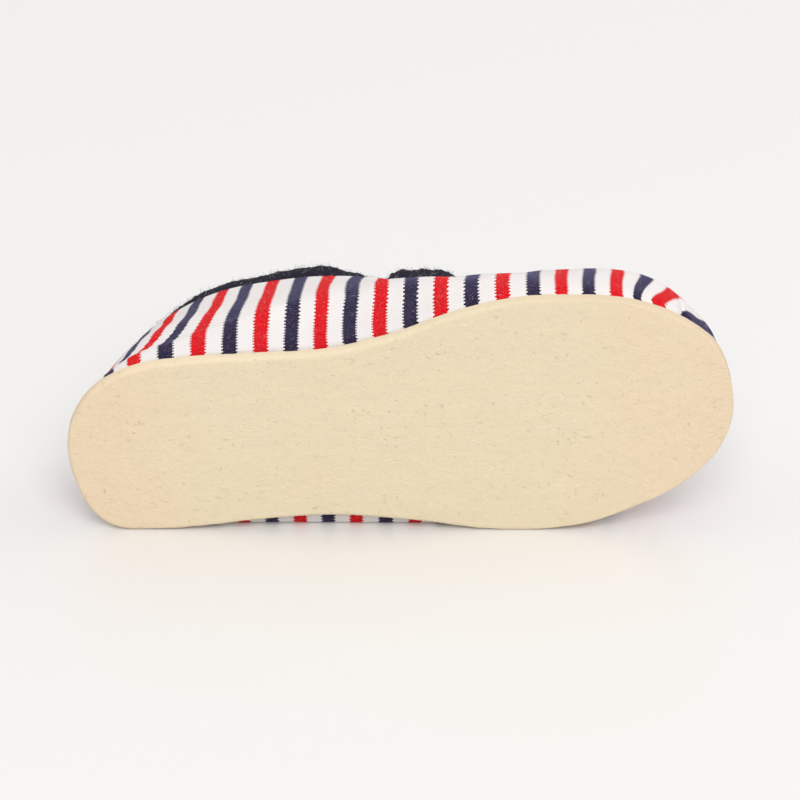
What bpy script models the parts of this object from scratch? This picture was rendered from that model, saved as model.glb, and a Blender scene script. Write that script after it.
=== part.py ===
"""A child's felt slipper with a flat crepe sole, lying on its outer side.

The shoe is drawn in its own frame: X runs from heel to toe, Y to the outer (lateral) side and Z up
from the tread. An empty then lays it down. Lengths are in millimetres until a mesh is made.
"""
import math

import bmesh
import bpy
import numpy as np
from mathutils import Matrix, Vector

MM = 0.001

# Driving dimensions
OUTSOLE_LENGTH = 172.0
BALL_WIDTH = 70.0
INSTEP_HEIGHT = 54.0        # throat edge above the tread
OUTSOLE_THICKNESS = 3.2
TOE_SPRING = 1.5            # lift of the tread's tip
SPRING_START = 0.72         # share of the length where that lift begins
INSOLE_THICKNESS = 3.0
WALL = 3.0                  # knit laminated on felt
LASTING_MARGIN = 5.0        # upper turned in on top of the outsole
TURN_ROUND = 1.2            # how softly it turns up from there
COLLAR_THICKNESS = 2.4
GAP = 0.3                   # between pieces that meet
SIDE_LEAN = 3.0             # degrees, of the tread toward the floor when the shoe lies on its side
SOLE_EDGE_ROUND = 0.4       # cut edge of both sheets

RING_POINTS = 96            # points around every closed line
OUTER_STEPS = 4             # rows to each control row, outside and inside
INNER_STEPS = 3
SPINE = (0.17, 0.84)        # where the sole's middle line starts and ends, as shares of the length
SHEET_RINGS = (1.0, 0.7, 0.35, 0.0)     # a sheet's rings, from its edge to that line
MERGE = 0.02                # points of the middle line closer than this are one
FLAT_EDGE = 60.0            # degrees; only a sheet's cut edge is sharper
LINE_SAMPLES = 400          # points of the outline tried for the line the shoe lies on
LINE_ROUNDS = 12

# Tread outline: station as a share of the length, half widths as shares of the ball width
OUTLINE = (
    # along, medial, lateral
    (0.000, 0.000, 0.000),
    (0.023, 0.197, 0.240),
    (0.058, 0.294, 0.326),
    (0.116, 0.357, 0.350),
    (0.198, 0.373, 0.353),
    (0.302, 0.363, 0.347),
    (0.407, 0.354, 0.364),
    (0.500, 0.390, 0.410),
    (0.599, 0.461, 0.473),
    (0.686, 0.496, 0.501),
    (0.767, 0.490, 0.490),
    (0.849, 0.453, 0.431),
    (0.907, 0.391, 0.369),
    (0.953, 0.304, 0.282),
    (0.985, 0.200, 0.171),
    (1.000, 0.000, 0.000),
)

# Belly of the upper: how far it stands out past the sole's edge where it turns up and at its
# widest, and the height of the widest line, in millimetres
BELLY = (
    # along, medial turn, medial belly, medial height, lateral turn, lateral belly, lateral height
    (0.00, -0.2, -0.2, 8.6, -0.2, -0.2, 8.6),
    (0.12, 0.3, 1.0, 8.5, 0.6, 1.6, 11.0),
    (0.22, 0.9, 2.4, 11.0, 3.0, 4.0, 14.0),
    (0.32, 1.6, 4.4, 15.0, 4.8, 5.8, 15.0),
    (0.42, 1.6, 4.8, 20.0, 5.4, 6.4, 15.0),
    (0.52, 1.2, 3.4, 18.0, 3.8, 4.8, 15.0),
    (0.64, 0.5, 1.2, 12.5, 1.4, 2.4, 15.0),
    (0.76, 0.1, 0.3, 9.5, 0.8, 1.6, 14.0),
    (0.88, 0.1, 0.4, 8.7, 0.4, 0.8, 11.0),
    (0.955, -0.3, -0.3, 8.5, -0.2, -0.1, 9.0),
    (1.00, -0.8, -0.8, 8.5, -0.8, -0.8, 8.5),
)

# Topline and the sections that lead to it. The foot of a section is its station on the sole;
# its top is given by station, half width and height; rise and drop are the lengths over which
# it leaves the belly and meets the topline, lead and reach how far it has come in by then.
SECTIONS = (
    # along, top along, top side, top height, rise, lead, drop, reach
    (0.000, 0.070, 0.000, 0.700, 0.15, 0.34, 0.19, 0.33),
    (0.023, 0.076, 0.086, 0.684, 0.15, 0.34, 0.18, 0.33),
    (0.058, 0.100, 0.173, 0.669, 0.15, 0.33, 0.18, 0.33),
    (0.116, 0.160, 0.276, 0.676, 0.16, 0.26, 0.18, 0.33),
    (0.198, 0.233, 0.332, 0.702, 0.16, 0.18, 0.18, 0.33),
    (0.302, 0.318, 0.348, 0.736, 0.13, 0.08, 0.15, 0.36),
    (0.395, 0.402, 0.346, 0.752, 0.12, 0.05, 0.12, 0.40),
    (0.478, 0.481, 0.314, 0.752, 0.14, 0.08, 0.12, 0.40),
    (0.560, 0.522, 0.256, 0.800, 0.15, 0.12, 0.20, 0.40),
    (0.640, 0.555, 0.210, 0.872, 0.145, 0.12, 0.23, 0.42),
    (0.730, 0.582, 0.172, 0.926, 0.15, 0.12, 0.25, 0.45),
    (0.820, 0.600, 0.128, 0.963, 0.205, 0.10, 0.26, 0.51),
    (0.900, 0.610, 0.084, 0.986, 0.25, 0.05, 0.28, 0.58),
    (0.960, 0.616, 0.043, 0.997, 0.15, 0.02, 0.29, 0.62),
    (1.000, 0.618, 0.000, 1.000, 0.09, 0.01, 0.30, 0.64),
)

# Felt collar: height in millimetres and lean toward the opening in degrees
COLLAR = (
    # along, height, lean
    (0.000, 4.2, 24.0),
    (0.116, 4.4, 16.0),
    (0.198, 5.0, 2.0),
    (0.270, 5.2, 1.0),
    (0.330, 5.6, -2.0),
    (0.400, 5.5, -4.0),
    (0.430, 4.6, 2.0),
    (0.470, 3.6, 18.0),
    (0.505, 3.0, 28.0),
    (0.545, 6.2, 0.0),
    (0.620, 6.6, -6.0),
    (0.720, 6.6, -4.0),
    (0.820, 6.2, 2.0),
    (1.000, 5.4, 12.0),
)

# Section of the felt collar above its foot: side and height, as shares of half its thickness
# and of its height
COLLAR_EDGE = ((-1.0, 0.55), (-0.75, 0.9), (0.0, 1.0), (0.75, 0.9), (1.0, 0.55))

# Fold where the soft heel sinks forward: a trough that climbs from the heel toward the collar
HEEL_FOLD = (
    # along, height, depth
    (0.00, 12.6, 0.4),
    (0.07, 12.6, 0.7),
    (0.12, 12.7, 1.1),
    (0.17, 13.2, 1.0),
    (0.22, 14.8, 0.7),
    (0.30, 18.8, 0.4),
    (0.42, 26.0, 0.2),
    (0.52, 30.0, 0.0),
    (1.00, 30.0, 0.0),
)
FOLD_WIDTH = 2.8

UP = np.array([0.0, 0.0, 1.0])
LEVEL = np.array([1.0, 1.0, 0.0])


def ring_angles():
    """Ring positions from -1 to 1: heel at 0, medial side negative, toe at both ends."""
    return np.arange(-RING_POINTS // 2, RING_POINTS // 2) * 2.0 / RING_POINTS


def ring_position(along):
    return math.acos(1.0 - 2.0 * along) / math.pi


def along_ring(ring):
    return 0.5 * (1.0 - np.cos(math.pi * ring))


def ring_curve(stations, medial, lateral, ring):
    """A closed smooth curve through values given at stations on both sides of the shoe."""
    here = [ring_position(s) for s in stations]
    places = np.array([-p for p in here[:0:-1]] + here[:-1])
    values = np.array(list(medial[:0:-1]) + list(lateral[:-1]), dtype=float)
    knots = np.concatenate((places[-2:] - 2.0, places, places[:3] + 2.0))
    heights = np.concatenate((values[-2:], values, values[:3]))
    steps = np.diff(knots)
    rates = np.diff(heights) / steps
    slopes = (rates[:-1] * steps[1:] + rates[1:] * steps[:-1]) / (steps[:-1] + steps[1:])
    slopes = np.concatenate(([0.0], slopes, [0.0]))
    cell = np.searchsorted(knots, ring, side="right") - 1
    step = knots[cell + 1] - knots[cell]
    t = (ring - knots[cell]) / step
    start = heights[cell] * (1 + 2 * t) * (1 - t) ** 2 + slopes[cell] * step * t * (1 - t) ** 2
    end = heights[cell + 1] * t * t * (3 - 2 * t) + slopes[cell + 1] * step * t * t * (t - 1)
    return start + end


def both_sides(rows, column, ring):
    """A table column that is the same on both sides."""
    stations = [row[0] for row in rows]
    values = [row[column] for row in rows]
    return ring_curve(stations, values, values, ring)


def tread_outline(ring):
    stations = [row[0] for row in OUTLINE]
    side = ring_curve(stations, [-row[1] for row in OUTLINE], [row[2] for row in OUTLINE], ring)
    return np.stack((along_ring(ring) * OUTSOLE_LENGTH, side * BALL_WIDTH, 0.0 * ring), axis=1)


def unit(vectors):
    return vectors / np.linalg.norm(vectors, axis=-1, keepdims=True)


def run_of(points):
    """Direction of each closed line of points along its ring."""
    return unit(np.roll(points, -1, axis=-2) - np.roll(points, 1, axis=-2))


def outward(points):
    """Level unit normals of a closed line, pointing away from the shoe."""
    run = run_of(points)
    return unit(np.stack((-run[:, 1], run[:, 0], 0.0 * run[:, 0]), axis=1))


def toe_bend(points):
    """Lift what lies ahead of the ball along a gentle curve."""
    lifted = points.copy()
    ahead = points[..., 0] / OUTSOLE_LENGTH - SPRING_START
    share = np.clip(ahead / (1.0 - SPRING_START), 0.0, None)
    lifted[..., 2] += TOE_SPRING * share ** 2
    return lifted


def floor_line():
    """Straight line that touches the tread's lateral edge at heel and ball: offset and slope."""
    edge = tread_outline(np.arange(LINE_SAMPLES) / LINE_SAMPLES)
    heel, fore = np.split(edge, 2)
    slope = 0.0
    for _ in range(LINE_ROUNDS):
        a = heel[np.argmax(heel[:, 1] - slope * heel[:, 0])]
        b = fore[np.argmax(fore[:, 1] - slope * fore[:, 0])]
        slope = (b[1] - a[1]) / (b[0] - a[0])
    return a[1] - slope * a[0], slope


def press_on_floor(points):
    """Flatten the soft side that the shoe lies on against the floor."""
    offset, slope = floor_line()
    lean = math.tan(math.radians(SIDE_LEAN))
    pressed = points.copy()
    limit = offset + slope * points[..., 0] + lean * points[..., 2]
    pressed[..., 1] = np.minimum(points[..., 1], limit)
    return pressed


def section_rows(ring):
    """Control rows of the upper from its lasting margin to its topline."""
    edge = tread_outline(ring)
    out = outward(edge)
    base = OUTSOLE_THICKNESS + GAP
    stations = [row[0] for row in BELLY]
    turn, belly, height = (
        ring_curve(stations, [row[c] for row in BELLY], [row[c + 3] for row in BELLY], ring)
        for c in (1, 2, 3))
    column = {name: both_sides(SECTIONS, i + 1, ring) for i, name in enumerate(
        ("along", "side", "height", "rise", "lead", "drop", "reach"))}
    margin = edge - out * LASTING_MARGIN + UP * base
    under = edge + out * (turn - TURN_ROUND)[:, None] + UP * base
    side = edge + out * turn[:, None] + UP * (base + TURN_ROUND)
    widest = edge + out * belly[:, None] + UP * height[:, None]
    top = np.stack((column["along"] * OUTSOLE_LENGTH,
                    np.sign(ring) * column["side"] * BALL_WIDTH,
                    column["height"] * INSTEP_HEIGHT), axis=1)
    inward = (top - widest) * LEVEL
    shoulder = widest + inward * column["lead"][:, None]
    shoulder += UP * (column["rise"] * INSTEP_HEIGHT)[:, None]
    brow = top - inward * column["reach"][:, None]
    brow -= UP * (column["drop"] * INSTEP_HEIGHT)[:, None]
    return press_on_floor(np.stack((margin, under, side, widest, shoulder, brow, top)))


def inner_rows(rows):
    """The same control rows moved in by the wall, mitred where the section turns."""
    legs = unit(np.diff(rows, axis=0))
    before = np.concatenate((legs[:1], legs))
    after = np.concatenate((legs, legs[-1:]))
    climb = unit(before + after)
    mitre = 1.0 / np.sum(climb * after, axis=2, keepdims=True)
    inside = unit(np.cross(run_of(rows), climb))
    moved = rows + inside * mitre * WALL
    moved[1:3] = rows[1:3] + (UP - outward(rows[0])) * WALL
    return moved


def soft_path(rows, steps):
    """Rows of a curve that rounds each control row and starts and ends on the outer two."""
    path = [rows[0]]
    for i in range(1, len(rows) - 1):
        start = rows[0] if i == 1 else (rows[i - 1] + rows[i]) / 2
        end = rows[-1] if i == len(rows) - 2 else (rows[i] + rows[i + 1]) / 2
        for k in range(1, steps + 1):
            t = k / steps
            path.append(start * (1 - t) ** 2 + rows[i] * 2 * t * (1 - t) + end * t * t)
    return np.stack(path)


def heel_fold(path, ring):
    """Press the heel's slanting fold into a set of rows."""
    height = both_sides(HEEL_FOLD, 1, ring)
    depth = both_sides(HEEL_FOLD, 2, ring)
    out = outward(tread_outline(ring))
    away = (path[..., 2] - height) / FOLD_WIDTH
    return path - out * (depth * np.exp(-away ** 2))[..., None]


def add_loft(name, rows):
    """A closed body whose skin runs through closed rings of points, the last joined to the first."""
    count, around = rows.shape[:2]
    bm = bmesh.new()
    grid = [[bm.verts.new(Vector(point * MM)) for point in row] for row in rows]
    for i in range(count):
        lower, upper = grid[i], grid[(i + 1) % count]
        for j in range(around):
            k = (j + 1) % around
            bm.faces.new((lower[j], lower[k], upper[k], upper[j]))
    bmesh.ops.recalc_face_normals(bm, faces=bm.faces)
    return add_object(name, bm)


def add_sheet(name, outline, ring, bottom, thickness):
    """A sheet cut to a closed outline: quads to the middle line, thickened upward."""
    bm = bmesh.new()
    middle = np.clip(along_ring(ring), *SPINE) * OUTSOLE_LENGTH
    spine = np.stack((middle, 0.0 * middle, 0.0 * middle), axis=1)
    rings = []
    for share in SHEET_RINGS:
        points = toe_bend(spine + (outline - spine) * share)
        points[:, 2] += bottom
        rings.append([bm.verts.new(Vector(point * MM)) for point in points])
    for lower, upper in zip(rings, rings[1:]):
        for j in range(len(lower)):
            k = (j + 1) % len(lower)
            bm.faces.new((lower[j], lower[k], upper[k], upper[j]))
    bmesh.ops.remove_doubles(bm, verts=bm.verts, dist=MERGE * MM)
    bmesh.ops.recalc_face_normals(bm, faces=bm.faces)
    if sum(face.normal.z for face in bm.faces) > 0:
        bmesh.ops.reverse_faces(bm, faces=bm.faces)
    sheet = add_object(name, bm)
    solidify = sheet.modifiers.new("thickness", "SOLIDIFY")
    solidify.thickness = thickness * MM
    solidify.offset = -1.0
    bevel = sheet.modifiers.new("cut edge", "BEVEL")
    bevel.width = SOLE_EDGE_ROUND * MM
    bevel.segments = 2
    bevel.limit_method = "ANGLE"
    bevel.angle_limit = math.radians(FLAT_EDGE)
    return sheet


def add_object(name, bm):
    mesh = bpy.data.meshes.new(name)
    bm.to_mesh(mesh)
    bm.free()
    piece = bpy.data.objects.new(name, mesh)
    collection.objects.link(piece)
    return piece


def add_material(piece, name, colour, roughness):
    material = bpy.data.materials.new(name)
    material.use_nodes = True
    shader = material.node_tree.nodes["Principled BSDF"]
    shader.inputs["Base Color"].default_value = (*colour, 1.0)
    shader.inputs["Roughness"].default_value = roughness
    shader.inputs["Metallic"].default_value = 0.0
    piece.data.materials.append(material)


def make_outsole(ring):
    outsole = add_sheet("outsole", tread_outline(ring), ring, 0.0, OUTSOLE_THICKNESS)
    add_material(outsole, "natural crepe", (0.80, 0.67, 0.46), 0.85)


def make_insole(ring):
    edge = tread_outline(ring)
    inset = LASTING_MARGIN + GAP
    insole = add_sheet("insole", edge - outward(edge) * inset, ring,
                       OUTSOLE_THICKNESS + GAP, INSOLE_THICKNESS)
    add_material(insole, "navy felt footbed", (0.03, 0.03, 0.06), 0.95)


def make_upper(ring):
    rows = section_rows(ring)
    outer = heel_fold(soft_path(rows, OUTER_STEPS), ring)
    inner = heel_fold(soft_path(inner_rows(rows), INNER_STEPS), ring)
    upper = add_loft("upper", toe_bend(np.concatenate((outer, inner[::-1]))))
    upper.data.shade_smooth()
    add_material(upper, "striped jersey", (0.85, 0.84, 0.86), 0.9)


def make_collar(ring):
    rows = section_rows(ring)
    top, under = rows[-1], inner_rows(rows)[-1]
    run = run_of(top)
    across = unit(under - top)
    lean = np.radians(both_sides(COLLAR, 2, ring))[:, None]
    height = both_sides(COLLAR, 1, ring)[:, None]
    stand = unit(across * LEVEL) * np.sin(lean) + UP * np.cos(lean)
    stand = unit(stand - run * np.sum(stand * run, axis=1, keepdims=True))
    thick = np.cross(run, stand)
    foot = (top + under) / 2 + unit(top - rows[-2]) * GAP
    half = COLLAR_THICKNESS / 2
    path = [foot - across * half]
    path += [foot + thick * (half * side) + stand * (height * share) for side, share in COLLAR_EDGE]
    path.append(foot + across * half)
    collar = add_loft("collar", np.stack(path))
    collar.data.shade_smooth()
    add_material(collar, "navy felt", (0.015, 0.014, 0.03), 0.95)


def lay_on_side():
    """Turn the shoe onto its lateral side, then bring its box's bottom centre to the origin."""
    _, slope = floor_line()
    down = Vector((-slope, 1.0, -math.tan(math.radians(SIDE_LEAN)))).normalized()
    forward = Vector((1.0, slope, 0.0)).normalized()
    away = (-down).cross(forward)
    turn = Matrix((forward, away, -down))
    graph = bpy.context.evaluated_depsgraph_get()
    points = [turn @ vertex.co for piece in collection.objects if piece.type == "MESH"
              for vertex in piece.evaluated_get(graph).data.vertices]
    low = Vector([min(point[i] for point in points) for i in range(3)])
    high = Vector([max(point[i] for point in points) for i in range(3)])
    place = bpy.data.objects.new("lying", None)
    collection.objects.link(place)
    place.matrix_world = Matrix.Translation((-(low.x + high.x) / 2, -(low.y + high.y) / 2, -low.z)) \
        @ turn.to_4x4()
    for piece in collection.objects:
        if piece.type == "MESH":
            piece.parent = place


for old in list(bpy.data.objects):
    bpy.data.objects.remove(old)
collection = bpy.data.collections.new("slipper")
bpy.context.scene.collection.children.link(collection)

ring_line = ring_angles()
make_outsole(ring_line)
make_insole(ring_line)
make_upper(ring_line)
make_collar(ring_line)
lay_on_side()
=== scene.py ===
import math

import bmesh
import bpy
import numpy as np
from mathutils import Matrix, Vector, noise


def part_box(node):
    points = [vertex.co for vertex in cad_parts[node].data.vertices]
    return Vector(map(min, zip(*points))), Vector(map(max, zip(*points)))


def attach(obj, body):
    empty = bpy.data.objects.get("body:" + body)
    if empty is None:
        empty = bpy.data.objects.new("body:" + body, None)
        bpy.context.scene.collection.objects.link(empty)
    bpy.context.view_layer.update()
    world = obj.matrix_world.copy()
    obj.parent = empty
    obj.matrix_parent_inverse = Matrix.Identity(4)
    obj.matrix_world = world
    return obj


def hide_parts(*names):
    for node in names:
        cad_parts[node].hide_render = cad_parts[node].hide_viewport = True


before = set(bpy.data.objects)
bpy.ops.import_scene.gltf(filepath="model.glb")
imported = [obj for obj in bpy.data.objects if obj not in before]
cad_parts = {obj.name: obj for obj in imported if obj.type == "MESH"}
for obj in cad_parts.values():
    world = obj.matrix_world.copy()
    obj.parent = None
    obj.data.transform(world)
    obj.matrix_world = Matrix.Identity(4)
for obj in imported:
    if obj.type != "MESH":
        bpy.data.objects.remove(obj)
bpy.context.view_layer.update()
print("frame loaded")

# The shoe is drawn in its own frame, in millimetres: X heel to toe, Y to the outer side, Z up from
# the tread. place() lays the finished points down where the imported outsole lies.
mm = 0.001
up = np.array([0.0, 0.0, 1.0])
level = np.array([1.0, 1.0, 0.0])

last = {
    "length": 172.0,
    "ballWidth": 70.0,
    "instepHeight": 54.0,
    "toeSpring": 1.5,
    "springStart": 0.72,     # share of the length
    "sideLean": 3.0,         # degrees, of the tread toward the floor
    "margin": 5.0,           # upper turned in on top of the outsole
    "turnRound": 1.2,        # how softly it turns up from there
    "wall": 3.0,
    "cadPoints": 96,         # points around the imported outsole
}

# Tread outline: half widths as shares of the ball width
outlineTable = (
    # along, inner side, outer side
    (0.000, 0.000, 0.000),
    (0.023, 0.200, 0.251),
    (0.058, 0.294, 0.327),
    (0.116, 0.357, 0.350),
    (0.198, 0.373, 0.353),
    (0.302, 0.363, 0.347),
    (0.407, 0.354, 0.364),
    (0.500, 0.390, 0.410),
    (0.599, 0.461, 0.473),
    (0.686, 0.496, 0.501),
    (0.767, 0.490, 0.490),
    (0.849, 0.453, 0.431),
    (0.907, 0.391, 0.369),
    (0.953, 0.304, 0.282),
    (0.985, 0.200, 0.171),
    (1.000, 0.000, 0.000),
)

# Belly of the upper: millimetres past the sole's edge where it turns up and at its widest, and
# the height of the widest line
bellyTable = (
    # along, inner turn, inner belly, inner height, outer turn, outer belly, outer height
    (0.00, -0.7, -1.0, 6.0, -0.4, -0.6, 6.5),
    (0.06, -0.5, -0.6, 6.5, 0.0, 0.2, 8.0),
    (0.12, 0.4, 1.2, 8.0, 0.6, 1.6, 10.5),
    (0.22, 0.9, 2.4, 10.5, 3.0, 4.0, 14.0),
    (0.32, 1.6, 4.4, 15.0, 4.8, 5.8, 15.0),
    (0.42, 1.6, 4.8, 20.0, 5.4, 6.4, 15.0),
    (0.52, 1.2, 3.4, 18.0, 3.8, 4.8, 15.0),
    (0.64, 0.5, 1.2, 12.5, 1.4, 2.4, 15.0),
    (0.76, 0.1, 0.2, 9.5, 0.8, 1.6, 14.0),
    (0.87, 0.05, 0.4, 8.8, 0.4, 0.9, 11.3),
    (0.92, -0.15, 0.35, 8.4, 0.1, 0.4, 10.0),
    (0.965, -0.6, -0.75, 8.0, -0.4, -0.3, 8.8),
    (1.00, -1.1, -1.2, 8.0, -1.0, -1.0, 8.0),
)

# Topline and the sections that lead to it, as shares of length, ball width and instep height
sectionTable = (
    # along, top along, top side, top height, rise, lead, drop, reach
    (0.000, 0.070, 0.000, 0.700, 0.15, 0.34, 0.19, 0.33),
    (0.023, 0.076, 0.086, 0.684, 0.15, 0.34, 0.18, 0.33),
    (0.058, 0.100, 0.173, 0.645, 0.15, 0.33, 0.18, 0.33),
    (0.116, 0.160, 0.276, 0.654, 0.16, 0.26, 0.18, 0.33),
    (0.198, 0.233, 0.332, 0.700, 0.16, 0.18, 0.18, 0.33),
    (0.302, 0.318, 0.348, 0.727, 0.13, 0.08, 0.15, 0.36),
    (0.395, 0.402, 0.346, 0.733, 0.12, 0.05, 0.12, 0.40),
    (0.478, 0.481, 0.314, 0.742, 0.14, 0.08, 0.12, 0.40),
    (0.560, 0.522, 0.256, 0.800, 0.15, 0.12, 0.20, 0.40),
    (0.640, 0.555, 0.210, 0.872, 0.145, 0.12, 0.23, 0.42),
    (0.730, 0.582, 0.172, 0.926, 0.15, 0.12, 0.25, 0.45),
    (0.820, 0.600, 0.128, 0.963, 0.205, 0.10, 0.26, 0.51),
    (0.900, 0.610, 0.084, 0.986, 0.25, 0.05, 0.28, 0.58),
    (0.960, 0.616, 0.043, 0.997, 0.15, 0.02, 0.29, 0.62),
    (1.000, 0.618, 0.000, 1.000, 0.09, 0.01, 0.30, 0.64),
)


def ringPosition(along):
    return math.acos(1.0 - 2.0 * along) / math.pi


def alongRing(ring):
    return 0.5 * (1.0 - np.cos(math.pi * ring))


def ringCurve(stations, inner, outer, ring):
    # a closed smooth curve through values given at stations on both sides of the shoe
    here = [ringPosition(s) for s in stations]
    places = np.array([-p for p in here[:0:-1]] + here[:-1])
    values = np.array(list(inner[:0:-1]) + list(outer[:-1]), dtype=float)
    knots = np.concatenate((places[-2:] - 2.0, places, places[:3] + 2.0))
    heights = np.concatenate((values[-2:], values, values[:3]))
    steps = np.diff(knots)
    rates = np.diff(heights) / steps
    slopes = (rates[:-1] * steps[1:] + rates[1:] * steps[:-1]) / (steps[:-1] + steps[1:])
    slopes = np.concatenate(([0.0], slopes, [0.0]))
    cell = np.searchsorted(knots, ring, side="right") - 1
    step = knots[cell + 1] - knots[cell]
    t = (ring - knots[cell]) / step
    start = heights[cell] * (1 + 2 * t) * (1 - t) ** 2 + slopes[cell] * step * t * (1 - t) ** 2
    end = heights[cell + 1] * t * t * (3 - 2 * t) + slopes[cell + 1] * step * t * t * (t - 1)
    return start + end


def bothSides(table, column, ring):
    stations = [row[0] for row in table]
    values = [row[column] for row in table]
    return ringCurve(stations, values, values, ring)


def unit(vectors):
    return vectors / np.linalg.norm(vectors, axis=-1, keepdims=True)


def runOf(points):
    # direction of each closed line of points along its ring
    return unit(np.roll(points, -1, axis=-2) - np.roll(points, 1, axis=-2))


def outward(points):
    run = runOf(points)
    return unit(np.stack((-run[:, 1], run[:, 0], 0.0 * run[:, 0]), axis=1))


def smooth(value, start, end):
    t = np.clip((value - start) / (end - start), 0.0, 1.0)
    return t * t * (3.0 - 2.0 * t)


def evenRing(count):
    return np.arange(-count // 2, count // 2) * 2.0 / count


def treadOutline(ring):
    stations = [row[0] for row in outlineTable]
    side = ringCurve(stations, [-row[1] for row in outlineTable],
                     [row[2] for row in outlineTable], ring)
    return np.stack((alongRing(ring) * last["length"], side * last["ballWidth"], 0.0 * ring), axis=1)


def toeBend(points):
    # lift what lies ahead of the ball along a gentle curve
    lifted = points.copy()
    start = last["springStart"]
    share = np.clip((points[..., 0] / last["length"] - start) / (1.0 - start), 0.0, None)
    lifted[..., 2] += last["toeSpring"] * share ** 2
    return lifted


def floorLine():
    # straight line that touches the tread's outer edge at heel and ball: offset and slope
    edge = treadOutline(np.arange(400) / 400)
    heel, fore = np.split(edge, 2)
    slope = 0.0
    for _ in range(12):
        a = heel[np.argmax(heel[:, 1] - slope * heel[:, 0])]
        b = fore[np.argmax(fore[:, 1] - slope * fore[:, 0])]
        slope = (b[1] - a[1]) / (b[0] - a[0])
    return a[1] - slope * a[0], slope


floorOffset, floorSlope = floorLine()
leanSlope = math.tan(math.radians(last["sideLean"]))


def pressOnFloor(points):
    pressed = points.copy()
    limit = floorOffset + floorSlope * points[..., 0] + leanSlope * points[..., 2]
    pressed[..., 1] = np.minimum(points[..., 1], limit)
    return pressed


def lyingFrame():
    # turn of the lying shoe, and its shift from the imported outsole's heel, outer edge and tread
    down = unit(np.array([-floorSlope, 1.0, -leanSlope]))
    forward = unit(np.array([1.0, floorSlope, 0.0]))
    turn = np.stack((forward, np.cross(-down, forward), -down))
    solid = np.array([v.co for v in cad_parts["outsole"].data.vertices]) @ turn
    corner = np.array([solid[:, 0].min(), solid[:, 1].max(), solid[:, 2].min()])
    corner[1] -= treadOutline(evenRing(last["cadPoints"]))[:, 1].max() * mm
    return turn, turn @ corner


shoeTurn, shoeShift = lyingFrame()


def place(points):
    return (points * mm) @ shoeTurn.T + shoeShift


def roughness(points, size, seed):
    # smooth noise from -1 to 1 with lumps of that size
    shift = Vector((seed * 17.3, seed * 5.1, seed * 29.7))
    flat = points.reshape(-1, 3) / size
    values = [noise.noise(Vector(p) + shift) for p in flat]
    return np.array(values).reshape(points.shape[:-1])


def sectionRows(ring, base):
    # control rows of the upper from its lasting margin to its topline
    edge = treadOutline(ring)
    out = outward(edge)
    stations = [row[0] for row in bellyTable]
    turn, belly, height = (
        ringCurve(stations, [row[c] for row in bellyTable], [row[c + 3] for row in bellyTable], ring)
        for c in (1, 2, 3))
    along, side, top, rise, lead, drop, reach = (
        bothSides(sectionTable, c, ring)[:, None] for c in range(1, 8))
    margin = edge - out * last["margin"] + up * base
    under = edge + out * (turn - last["turnRound"])[:, None] + up * base
    corner = edge + out * turn[:, None] + up * (base + last["turnRound"])
    widest = edge + out * belly[:, None] + up * height[:, None]
    topline = np.concatenate((along * last["length"], np.sign(ring)[:, None] * side * last["ballWidth"],
                              top * last["instepHeight"]), axis=1)
    inward = (topline - widest) * level
    shoulder = widest + inward * lead + up * rise * last["instepHeight"]
    brow = topline - inward * reach - up * drop * last["instepHeight"]
    return pressOnFloor(np.stack((margin, under, corner, widest, shoulder, brow, topline)))


def innerRows(rows, depth):
    # the same control rows moved in by a depth, mitred where the section turns
    legs = unit(np.diff(rows, axis=0))
    before = np.concatenate((legs[:1], legs))
    after = np.concatenate((legs, legs[-1:]))
    climb = unit(before + after)
    mitre = 1.0 / np.sum(climb * after, axis=2, keepdims=True)
    inside = unit(np.cross(runOf(rows), climb))
    moved = rows + inside * mitre * depth
    moved[1:3] = rows[1:3] + (up - outward(rows[0])) * depth
    return moved


def softPath(rows, steps):
    # rows of a curve that rounds each control row and starts and ends on the outer two
    path = [rows[0]]
    for i in range(1, len(rows) - 1):
        start = rows[0] if i == 1 else (rows[i - 1] + rows[i]) / 2
        end = rows[-1] if i == len(rows) - 2 else (rows[i] + rows[i + 1]) / 2
        for k in range(1, steps + 1):
            t = k / steps
            path.append(start * (1 - t) ** 2 + rows[i] * 2 * t * (1 - t) + end * t * t)
    return np.stack(path)


def pathLength(path):
    legs = np.linalg.norm(np.diff(path, axis=0), axis=2)
    return np.concatenate((np.zeros((1, path.shape[1])), np.cumsum(legs, axis=0)))


def evenRows(path, count):
    # the same curves with their rows spread evenly
    length = pathLength(path)
    shares = np.linspace(0.0, 1.0, count)
    rows = np.empty((count, path.shape[1], 3))
    for j in range(path.shape[1]):
        for c in range(3):
            rows[:, j, c] = np.interp(shares * length[-1, j], length[:, j], path[:, j, c])
    return rows


# Soft folds of the wall. The heel sinks forward over a fold that climbs toward the collar:
# steep below its trough, slow above it.
heelFoldTable = (
    # along, height, depth
    (0.00, 7.0, 0.3),
    (0.05, 7.2, 0.7),
    (0.09, 8.2, 1.6),
    (0.12, 9.4, 2.1),
    (0.17, 11.4, 1.6),
    (0.22, 14.0, 0.8),
    (0.30, 18.8, 0.45),
    (0.42, 26.0, 0.2),
    (0.52, 30.0, 0.0),
    (1.00, 30.0, 0.0),
)

# Creases of the side walls, seen from the side: a straight line, how wide and how deep it is
wallCreases = (
    # side, start along, start height, end along, end height, width, depth
    (-1, 0.50, 36.0, 0.44, 22.0, 4.0, 0.7),
    (-1, 0.56, 34.0, 0.62, 20.0, 5.0, 0.5),
    (1, 0.50, 36.0, 0.45, 24.0, 4.0, 0.7),
    (1, 0.24, 34.0, 0.20, 20.0, 5.0, 0.9),
)

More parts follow.
